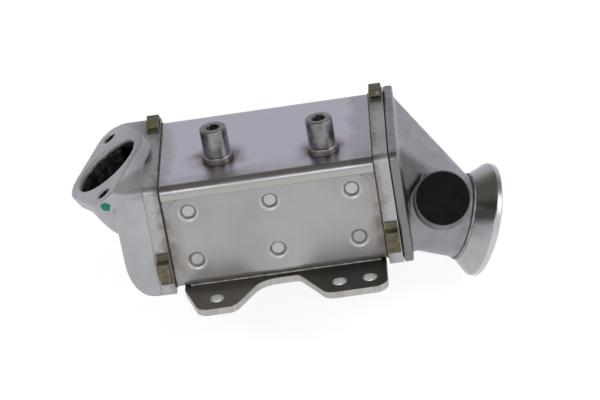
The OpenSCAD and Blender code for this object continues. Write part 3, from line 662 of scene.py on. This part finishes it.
def bead_tree(material):
    """Geometry Nodes tree that lays a rippled weld bead along the edges of a mesh path."""
    tree = bpy.data.node_groups.new("weld_bead", "GeometryNodeTree")
    tree.is_modifier = True
    tree.interface.new_socket("Path", in_out="INPUT", socket_type="NodeSocketGeometry")
    for name in ("Bead radius", "Ripple pitch", "Ripple height"):
        tree.interface.new_socket(name, in_out="INPUT", socket_type="NodeSocketFloat")
    tree.interface.new_socket("Bead", in_out="OUTPUT", socket_type="NodeSocketGeometry")
    made = tree.nodes.new
    link = tree.links.new
    given = made("NodeGroupInput")
    curve = made("GeometryNodeMeshToCurve")
    spaced = made("GeometryNodeResampleCurve")
    spaced.mode = "LENGTH"
    spaced.inputs["Length"].default_value = 0.35 * MM
    run = made("GeometryNodeSplineParameter")
    kept = made("GeometryNodeStoreNamedAttribute")
    kept.data_type = "FLOAT"
    kept.domain = "POINT"
    kept.inputs["Name"].default_value = "run"
    profile = made("GeometryNodeCurvePrimitiveCircle")
    profile.inputs["Resolution"].default_value = 12
    swept = made("GeometryNodeCurveToMesh")
    swept.inputs["Fill Caps"].default_value = True
    along = made("GeometryNodeInputNamedAttribute")
    along.data_type = "FLOAT"
    along.inputs["Name"].default_value = "run"
    wander = made("ShaderNodeTexNoise")
    wander.inputs["Scale"].default_value = 220.0
    operations = {}
    for name, operation in (
        ("turns", "DIVIDE"),
        ("angle", "MULTIPLY"),
        ("wave", "SINE"),
        ("swell", "ADD"),
        ("height", "MULTIPLY"),
    ):
        operations[name] = made("ShaderNodeMath")
        operations[name].operation = operation
    operations["angle"].inputs[1].default_value = 2 * math.pi
    normal = made("GeometryNodeInputNormal")
    lift = made("ShaderNodeVectorMath")
    lift.operation = "SCALE"
    moved = made("GeometryNodeSetPosition")
    smooth = made("GeometryNodeSetShadeSmooth")
    real = made("GeometryNodeRealizeInstances")
    coat = made("GeometryNodeSetMaterial")
    coat.inputs["Material"].default_value = material
    result = made("NodeGroupOutput")
    link(given.outputs["Path"], curve.inputs["Mesh"])
    link(curve.outputs["Curve"], spaced.inputs["Curve"])
    link(spaced.outputs["Curve"], kept.inputs["Geometry"])
    link(run.outputs["Length"], kept.inputs["Value"])
    link(kept.outputs["Geometry"], swept.inputs["Curve"])
    link(given.outputs["Bead radius"], profile.inputs["Radius"])
    link(profile.outputs["Curve"], swept.inputs["Profile Curve"])
    link(along.outputs["Attribute"], operations["turns"].inputs[0])
    link(given.outputs["Ripple pitch"], operations["turns"].inputs[1])
    link(operations["turns"].outputs[0], operations["angle"].inputs[0])
    link(operations["angle"].outputs[0], operations["wave"].inputs[0])
    link(operations["wave"].outputs[0], operations["swell"].inputs[0])
    link(wander.outputs["Fac"], operations["swell"].inputs[1])
    link(operations["swell"].outputs[0], operations["height"].inputs[0])
    link(given.outputs["Ripple height"], operations["height"].inputs[1])
    link(normal.outputs["Normal"], lift.inputs[0])
    link(operations["height"].outputs[0], lift.inputs["Scale"])
    link(swept.outputs["Mesh"], moved.inputs["Geometry"])
    link(lift.outputs["Vector"], moved.inputs["Offset"])
    link(moved.outputs["Geometry"], smooth.inputs["Geometry"])
    link(smooth.outputs["Geometry"], real.inputs["Geometry"])
    link(real.outputs["Geometry"], coat.inputs["Geometry"])
    link(coat.outputs["Geometry"], result.inputs["Bead"])
    return tree


def weld(name, spots, closed, radius, pitch=1.1 * MM, height=0.16 * MM, metal="weld"):
    """Lays a bead of weld or braze along a path of spots."""
    mesh = bpy.data.meshes.new(name)
    count = len(spots)
    edges = [(k, (k + 1) % count) for k in range(count if closed else count - 1)]
    mesh.from_pydata(spots, edges, [])
    piece = bpy.data.objects.new(name, mesh)
    bpy.context.scene.collection.objects.link(piece)
    laid = piece.modifiers.new("bead", "NODES")
    laid.node_group = beads[metal]
    for label, value in (("Bead radius", radius), ("Ripple pitch", pitch), ("Ripple height", height)):
        laid[socket_of(beads[metal], label)] = value
    settled(piece)
    return piece


def ring(centre, axis, radius, steps=120):
    """Spots of a circle round an axis."""
    turn = Vector((0, 0, 1)).rotation_difference(Vector(axis)).to_matrix()
    angles = [2 * math.pi * k / steps for k in range(steps)]
    return [Vector(centre) + turn @ Vector((math.cos(a), math.sin(a), 0)) * radius for a in angles]


welded, tree, shader, place = bare_material("weld_metal", 1.0, 0.36)
cloud = noise(tree, place, 220.0, 4.0)
colour = blended(tree, span(tree, cloud, 0.35, 0.7), (0.40, 0.395, 0.385), (0.26, 0.24, 0.215))
tree.links.new(colour, shader.inputs["Base Color"])
tree.links.new(span(tree, cloud, 0.3, 0.7, 0.28, 0.48), shader.inputs["Roughness"])
beads = {"weld": bead_tree(welded)}
neck_radius = 26 * MM
neck_bead = 1.0 * MM
bead_sink = 0.3 * MM
weld("neck_weld", ring(neck_weld, neck_axis, neck_radius - bead_sink), True, neck_bead)


# Header braze: the line of braze that ran into the corner between the shell and each header.
# Thin, smooth and dark; it follows the sheets' outline round the whole shell.
filler, tree, shader, place = bare_material("braze_line", 0.6, 0.5)
cloud = noise(tree, place, 260.0, 4.0)
colour = blended(tree, span(tree, cloud, 0.35, 0.7), (0.05, 0.042, 0.034), (0.14, 0.115, 0.085))
tree.links.new(colour, shader.inputs["Base Color"])
beads["braze"] = bead_tree(filler)
braze_radius = 0.65 * MM
braze_steps = 240
outside = 200 * MM
sheets = bmesh.new()
for node in ("shell_body", "shell_lid"):
    sheets.from_mesh(frame["nodes"][node].data)
sheet_skin = BVHTree.FromBMesh(sheets)
sheets.free()
shell_low, shell_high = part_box("shell_body")
core_middle = (shell_low + shell_high) / 2
for side, joint in (("left", shell_low.x + braze_radius / 2), ("right", shell_high.x - braze_radius / 2)):
    line = []
    for step in range(braze_steps):
        turn = 2 * math.pi * step / braze_steps
        outward = Vector((0.0, math.cos(turn), math.sin(turn)))
        middle = Vector((joint, 0.0, core_middle.z))
        line.append(sheet_skin.ray_cast(middle + outward * outside, -outward)[0])
    weld(
        "braze_" + side, line, True, braze_radius,
        pitch=9 * MM, height=0.05 * MM, metal="braze",
    )


# Port: a turned collar let into the front of the tank and welded all round.
# The solid stays as it is; the weld was dressed to a hollow fillet that follows the tank's skin.
port_mouth = Vector((102.0, -43.5, 39.2)) * MM
port_lean = math.radians(31)
port_turn = math.radians(10)
port_axis = Vector((
    math.sin(port_turn) * math.cos(port_lean),
    -math.cos(port_turn) * math.cos(port_lean),
    math.sin(port_lean),
))
port_radius = 17 * MM
coated(frame["nodes"]["port_collar"], deep_drawn)
tank_skin = BVHTree.FromPolygons(
    [vertex.co for vertex in tank.data.vertices],
    [polygon.vertices for polygon in tank.data.polygons],
)
fillet_rise = 3.0 * MM
fillet_run = 4.0 * MM
fillet_sink = 0.12 * MM
fillet_root = 0.6 * MM
fillet_steps = 8
least_share = 0.05
mouth_share = 0.1
skin_probe = 1.4 * MM
probe_start = 30 * MM


def skin_height(outward, radius):
    """Height of the tank's skin above the port's mouth, at a radius from the port's axis."""
    spot = port_mouth + outward * radius
    hit = tank_skin.ray_cast(spot + port_axis * probe_start, -port_axis)[0]
    return (hit - spot).dot(port_axis)


def joined_rows(form, rows):
    """Joins rows of points, each a closed section, to a closed ring of faces."""
    for row, after in zip(rows, rows[1:] + rows[:1]):
        for k in range(len(row)):
            j = (k + 1) % len(row)
            form.faces.new((row[k], after[k], after[j], row[j]))


def hollow_fillet(name):
    """Closed ring from the collar's wall to the tank's skin, which runs out where the wall is low."""
    form = bmesh.new()
    rows = []
    for outward in ring((0, 0, 0), port_axis, 1.0):
        near = skin_height(outward, port_radius + skin_probe)
        far = skin_height(outward, port_radius + fillet_run)
        slope = (far - near) / (fillet_run - skin_probe)
        corner = near - slope * skin_probe
        share = min(1.0, max(least_share, -corner / fillet_rise - mouth_share))
        section = []
        for step in range(fillet_steps + 1):
            t = step / fillet_steps
            radius = port_radius + fillet_run * share * t ** 2 - fillet_sink * (1 - t)
            height = fillet_rise * (1 - t) ** 2 + slope * fillet_run * t ** 2
            section.append((radius, corner + share * height - fillet_sink * t))
        section.append((port_radius - fillet_root, corner - fillet_root))
        rows.append([form.verts.new(port_mouth + outward * r + port_axis * h) for r, h in section])
    joined_rows(form, rows)
    bmesh.ops.recalc_face_normals(form, faces=form.faces)
    piece = settled(piece_of(form, name))
    for polygon in piece.data.polygons:
        polygon.use_smooth = polygon.index % len(section) < fillet_steps
    return piece


coated(hollow_fillet("collar_weld"), deep_drawn)


# Plug: a push-in transport plug that closes the port.
# Moulded black plastic, satin, with a shallow dish in its head.
plug_edge = 0.6 * MM
black, tree, shader, place = bare_material("black_plug", 0.0, 0.6)
shader.inputs["Specular IOR Level"].default_value = 0.1
cloud = noise(tree, place, 120.0, 4.0)
colour = blended(tree, span(tree, cloud, 0.35, 0.7), (0.004, 0.0045, 0.005), (0.008, 0.0085, 0.009))
tree.links.new(colour, shader.inputs["Base Color"])
tree.links.new(span(tree, cloud, 0.3, 0.75, 0.5, 0.66), shader.inputs["Roughness"])
raised(tree, shader, noise(tree, place, 2200.0, 2.0), 0.00004, 0.4)
coated(dressed("port_plug", plug_edge, 4), black)


# Threaded bosses: two turned studs of bar with a blind M8 thread, welded upright on the lid.
# Machined steel with a broken top edge and a countersink; each weld has a flared, browned foot.
def turned(name, outline, steps=96):
    """Closed form of revolution about Z from an outline of radii and heights."""
    form = bmesh.new()
    rows = []
    for step in range(steps):
        turn = 2 * math.pi * step / steps
        rows.append([form.verts.new((r * math.cos(turn), r * math.sin(turn), z)) for r, z in outline])
    joined_rows(form, rows)
    bmesh.ops.remove_doubles(form, verts=form.verts, dist=join_reach)
    bmesh.ops.recalc_face_normals(form, faces=form.faces)
    return piece_of(form, name)


def thread_tree(material):
    """Geometry Nodes tree that winds a thread's ridge inside a hole, from the bottom up."""
    tree = bpy.data.node_groups.new("thread", "GeometryNodeTree")
    tree.is_modifier = True
    tree.interface.new_socket("Geometry", in_out="INPUT", socket_type="NodeSocketGeometry")
    for name, kind in (
        ("Turns", "NodeSocketFloat"), ("Radius", "NodeSocketFloat"), ("Height", "NodeSocketFloat"),
        ("Ridge", "NodeSocketFloat"), ("Place", "NodeSocketVector"),
    ):
        tree.interface.new_socket(name, in_out="INPUT", socket_type=kind)
    tree.interface.new_socket("Thread", in_out="OUTPUT", socket_type="NodeSocketGeometry")
    made = tree.nodes.new
    link = tree.links.new
    given = made("NodeGroupInput")
    helix = made("GeometryNodeCurveSpiral")
    helix.inputs["Resolution"].default_value = 40
    profile = made("GeometryNodeCurvePrimitiveCircle")
    profile.inputs["Resolution"].default_value = 4
    swept = made("GeometryNodeCurveToMesh")
    swept.inputs["Fill Caps"].default_value = True
    moved = made("GeometryNodeTransform")
    real = made("GeometryNodeRealizeInstances")
    coat = made("GeometryNodeSetMaterial")
    coat.inputs["Material"].default_value = material
    result = made("NodeGroupOutput")
    link(given.outputs["Turns"], helix.inputs["Rotations"])
    link(given.outputs["Radius"], helix.inputs["Start Radius"])
    link(given.outputs["Radius"], helix.inputs["End Radius"])
    link(given.outputs["Height"], helix.inputs["Height"])
    link(given.outputs["Ridge"], profile.inputs["Radius"])
    link(helix.outputs["Curve"], swept.inputs["Curve"])
    link(profile.outputs["Curve"], swept.inputs["Profile Curve"])
    link(swept.outputs["Mesh"], moved.inputs["Geometry"])
    link(given.outputs["Place"], moved.inputs["Translation"])
    link(moved.outputs["Geometry"], real.inputs["Geometry"])
    link(real.outputs["Geometry"], coat.inputs["Geometry"])
    link(coat.outputs["Geometry"], result.inputs["Thread"])
    return tree


boss_steel, tree, shader, place = bare_material("boss_steel", 1.0, 0.3)
axes = axes_of(tree, place)
cloud = noise(tree, place, 150.0, 4.0)
cuts = noise(tree, stretched(tree, place, (1.0, 1.0, 60.0)), 60.0, 2.0)
scorch = span(tree, axes["Z"], lid_top + 4.5 * MM, lid_top)
colour = blended(tree, span(tree, cloud, 0.35, 0.7), (0.17, 0.17, 0.172), (0.29, 0.29, 0.292))
colour = blended(tree, product(tree, scorch, 0.7), colour, (0.20, 0.16, 0.14))
tree.links.new(colour, shader.inputs["Base Color"])
tree.links.new(span(tree, cloud, 0.3, 0.7, 0.22, 0.34), shader.inputs["Roughness"])
raised(tree, shader, cuts, 0.00003, 0.4)

oily, tree, shader, place = bare_material("oily_thread", 0.8, 0.35)
grime = noise(tree, place, 400.0, 4.0)
colour = blended(tree, span(tree, grime, 0.35, 0.7), (0.03, 0.027, 0.024), (0.12, 0.11, 0.10))
tree.links.new(colour, shader.inputs["Base Color"])
threads = thread_tree(oily)
thread_pitch = 1.25 * MM
thread_root = 4.0 * MM
foot_flare = 1.3 * MM
foot_height = 4.2 * MM
foot_steps = 8
foot_drop = 0.45
toe_height = 0.3 * MM
toe_reach = 1.15 * foot_flare
toe_end = 1.3 * foot_flare
chamfer = 0.8 * MM
chamfer_round = 0.25 * chamfer
countersink = 0.5 * MM
countersink_run = 0.4 * MM
drill_over = 0.9 * MM
boss_edge = 0.15 * MM
hole_slack = 0.1 * MM
for side in ("left", "right"):
    hole = mounts["boss_" + side + "_thread"]
    x, y, _ = hole["pos_m"]
    low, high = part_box("boss_" + side)
    core = hole["dims"]["r_mm"] * MM
    outer = (high.x - low.x) / 2
    height = high.z - low.z
    depth = hole["dims"]["length_mm"] * MM
    floor_z = height - depth - drill_over
    outline = [
        (0, floor_z),
        (thread_root, floor_z),
        (thread_root, height - countersink),
        (thread_root + countersink_run, height),
        (outer - chamfer, height),
        (outer - chamfer_round, height - chamfer_round),
        (outer, height - chamfer),
    ]
    for step in range(foot_steps + 1):
        turn = math.pi / 2 * step / foot_steps
        outline.append((
            outer + foot_flare * math.sin(turn),
            foot_height * (1 - foot_drop * (1 - math.cos(turn))),
        ))
    outline += [(outer + toe_reach, toe_height), (outer + toe_end, 0), (0, 0)]
    boss = turned("boss_" + side + "_turned", outline)
    boss.data.transform(Matrix.Translation((x, y, low.z)))
    breaking = boss.modifiers.new("broken_edges", "BEVEL")
    breaking.width = boss_edge
    breaking.segments = 2
    breaking.limit_method = "ANGLE"
    boss.modifiers.new("even_shading", "WEIGHTED_NORMAL")
    coated(settled(boss, "boss_" + side), boss_steel)
    boss.data.materials.append(oily)
    for polygon in boss.data.polygons:
        away = polygon.center - Vector((x, y, polygon.center.z))
        polygon.material_index = 1 if away.length < thread_root + hole_slack else 0
    ridge = bpy.data.objects.new("thread_" + side, bpy.data.meshes.new("thread_" + side))
    bpy.context.scene.collection.objects.link(ridge)
    winding = ridge.modifiers.new("winding", "NODES")
    winding.node_group = threads
    for label, value in (
        ("Turns", depth / thread_pitch), ("Radius", thread_root), ("Height", depth),
        ("Ridge", thread_root - core), ("Place", (x, y, low.z + floor_z)),
    ):
        winding[socket_of(threads, label)] = value
    settled(ridge)


# Mounting bracket: one flat plate below the shell, with two ears for its bolts.
# Hot-rolled steel, dark on its faces and bright where it was cut, welded to the shell's underside.
bracket_edge = 0.5 * MM
rolled, tree, shader, place = bare_material("rolled_plate", 0.85, 0.42)
cloud = noise(tree, place, 40.0, 5.0)
grain = noise(tree, stretched(tree, place, (30.0, 200.0, 200.0)), 5.0, 4.0)
axes = axes_of(tree, place)
# Darker towards the right end, along a cloudy edge.
rightward_darkening = reckon(tree, "ADD", axes["X"], product(tree, cloud, 60 * MM))
rightward_darkening = span(tree, rightward_darkening, -20 * MM, 70 * MM)
colour = blended(tree, rightward_darkening, (0.18, 0.17, 0.15), (0.085, 0.08, 0.07))
tree.links.new(colour, shader.inputs["Base Color"])
tree.links.new(span(tree, cloud, 0.3, 0.75, 0.34, 0.5), shader.inputs["Roughness"])
raised(tree, shader, grain, 0.00008, 0.4)
cut_edge, tree, shader, place = bare_material("cut_edge", 0.9, 0.42)
tearing = noise(tree, stretched(tree, place, (1.0, 1.0, 0.15)), 700.0, 3.0)
colour = blended(tree, span(tree, tearing, 0.3, 0.75), (0.50, 0.49, 0.47), (0.38, 0.37, 0.35))
tree.links.new(colour, shader.inputs["Base Color"])
raised(tree, shader, tearing, 0.00008, 0.5)
face_tilt = 0.8
bracket = coated(dressed("mounting_bracket", bracket_edge), rolled)
bracket.data.materials.append(cut_edge)
for polygon in bracket.data.polygons:
    polygon.material_index = 1 if abs(polygon.normal.z) < face_tilt else 0
low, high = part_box("mounting_bracket")
seam_bead = 0.9 * MM
seam_inset = 2.2 * MM
seam_rise = 0.7 * MM
seam_left, seam_right = 4 * MM, 3 * MM
weld_start = Vector((low.x + seam_left, panel_y + seam_inset, high.z + seam_rise))
weld_end = Vector((high.x - seam_right, panel_y + seam_inset, high.z + seam_rise))
weld_steps = 60
seam = [weld_start.lerp(weld_end, k / weld_steps) for k in range(weld_steps + 1)]
weld("bracket_weld", seam, False, seam_bead)


# Coolant pipes: two stubs of tube with a hose bead, brazed into the rear of the shell.
# Drawn stainless tube with a rolled bead; the braze leaves a narrow fillet at its root.
pipe_edge = 0.3 * MM
pipe_radius = 9.5 * MM
pipe_bead = 0.9 * MM
pipe_gap = 0.2 * MM
root_lift = 0.1 * MM
for node in ("coolant_inlet", "coolant_outlet"):
    coated(dressed(node, pipe_edge), deep_drawn)
    low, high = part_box(node)
    middle = (low + high) / 2
    foot = Vector((middle.x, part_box("shell_body")[1].y + root_lift, middle.z))
    weld(node + "_weld", ring(foot, (0, 1, 0), pipe_radius + pipe_gap), True, pipe_bead)


# Stage: a pale floor just below the lowest point, soft light from panels, and the photograph's camera.
# The floor shows white to the camera and in reflections, and still takes the soft shadow.
floor_gap = 0.5 * MM
floor_size = 12.0
whole_low, whole_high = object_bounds()
floor_mesh = bpy.data.meshes.new("floor")
half = floor_size / 2
floor_z = whole_low[2] - floor_gap
floor_mesh.from_pydata(
    [(-half, -half, floor_z), (half, -half, floor_z), (half, half, floor_z), (-half, half, floor_z)],
    [],
    [(0, 1, 2, 3)],
)
floor = bpy.data.objects.new("floor", floor_mesh)
bpy.context.scene.collection.objects.link(floor)
pale = bpy.data.materials.new("pale_floor")
pale.use_nodes = True
tree = pale.node_tree
tree.nodes.clear()
matte = tree.nodes.new("ShaderNodeBsdfDiffuse")
matte.inputs["Color"].default_value = (0.38, 0.38, 0.385, 1.0)
glow = tree.nodes.new("ShaderNodeEmission")
path = tree.nodes.new("ShaderNodeLightPath")
seen = reckon(tree, "MAXIMUM", path.outputs["Is Camera Ray"], path.outputs["Is Glossy Ray"])
seen = reckon(tree, "MAXIMUM", seen, path.outputs["Is Transmission Ray"])
tree.links.new(product(tree, seen, 0.84), glow.inputs["Strength"])
both = tree.nodes.new("ShaderNodeAddShader")
tree.links.new(matte.outputs["BSDF"], both.inputs[0])
tree.links.new(glow.outputs["Emission"], both.inputs[1])
output = tree.nodes.new("ShaderNodeOutputMaterial")
tree.links.new(both.outputs["Shader"], output.inputs["Surface"])
floor_mesh.materials.append(pale)

sky = bpy.data.worlds.new("studio")
bpy.context.scene.world = sky
sky.use_nodes = True
tree = sky.node_tree
background = tree.nodes["Background"]
direction = tree.nodes.new("ShaderNodeTexCoord").outputs["Generated"]
axes = axes_of(tree, direction)
overhead = span(tree, axes["Z"], 0.44, 0.7)
colour = blended(tree, overhead, (0.93, 0.92, 1.0), (0.21, 0.20, 0.165))
tree.links.new(colour, background.inputs["Color"])
background.inputs["Strength"].default_value = 0.85


def panel(name, place, aim, size, power, colour):
    """Soft panel light that faces a point."""
    lamp = bpy.data.lights.new(name, "AREA")
    lamp.shape = "RECTANGLE"
    lamp.size, lamp.size_y = size
    lamp.energy = power
    lamp.color = colour
    piece = bpy.data.objects.new(name, lamp)
    bpy.context.scene.collection.objects.link(piece)
    piece.location = place
    piece.rotation_euler = (Vector(aim) - Vector(place)).to_track_quat("-Z", "Y").to_euler()


middle = (Vector(whole_low) + Vector(whole_high)) / 2
panel("key_panel", (-0.3, -1.35, 0.95), middle, (1.4, 0.4), 4.0, (1.0, 0.98, 0.95))
panel("fill_panel", (1.2, -0.5, 0.9), middle, (0.8, 0.8), 5.0, (0.95, 0.97, 1.0))

azimuth = math.radians(3.86)
elevation = math.radians(26.96)
roll = math.radians(-9.80)
distance = 1.8
focal_pixels = 2933.9
image_width = 600
aim = Vector((14.79, 0.0, 29.49)) * MM
toward = Vector((
    math.sin(azimuth) * math.cos(elevation),
    -math.cos(azimuth) * math.cos(elevation),
    math.sin(elevation),
))
level = Vector((math.cos(azimuth), math.sin(azimuth), 0.0))
upright = toward.cross(level)
right = level * math.cos(roll) + upright * math.sin(roll)
up = upright * math.cos(roll) - level * math.sin(roll)
lens = bpy.data.cameras.new("camera")
lens.sensor_fit = "HORIZONTAL"
lens.lens = lens.sensor_width * focal_pixels / image_width
camera = bpy.data.objects.new("camera", lens)
bpy.context.scene.collection.objects.link(camera)
facing = Matrix((right, up, toward)).transposed().to_4x4()
camera.matrix_world = Matrix.Translation(aim + toward * distance) @ facing
bpy.context.scene.camera = camera
bpy.context.scene.view_settings.view_transform = "Standard"
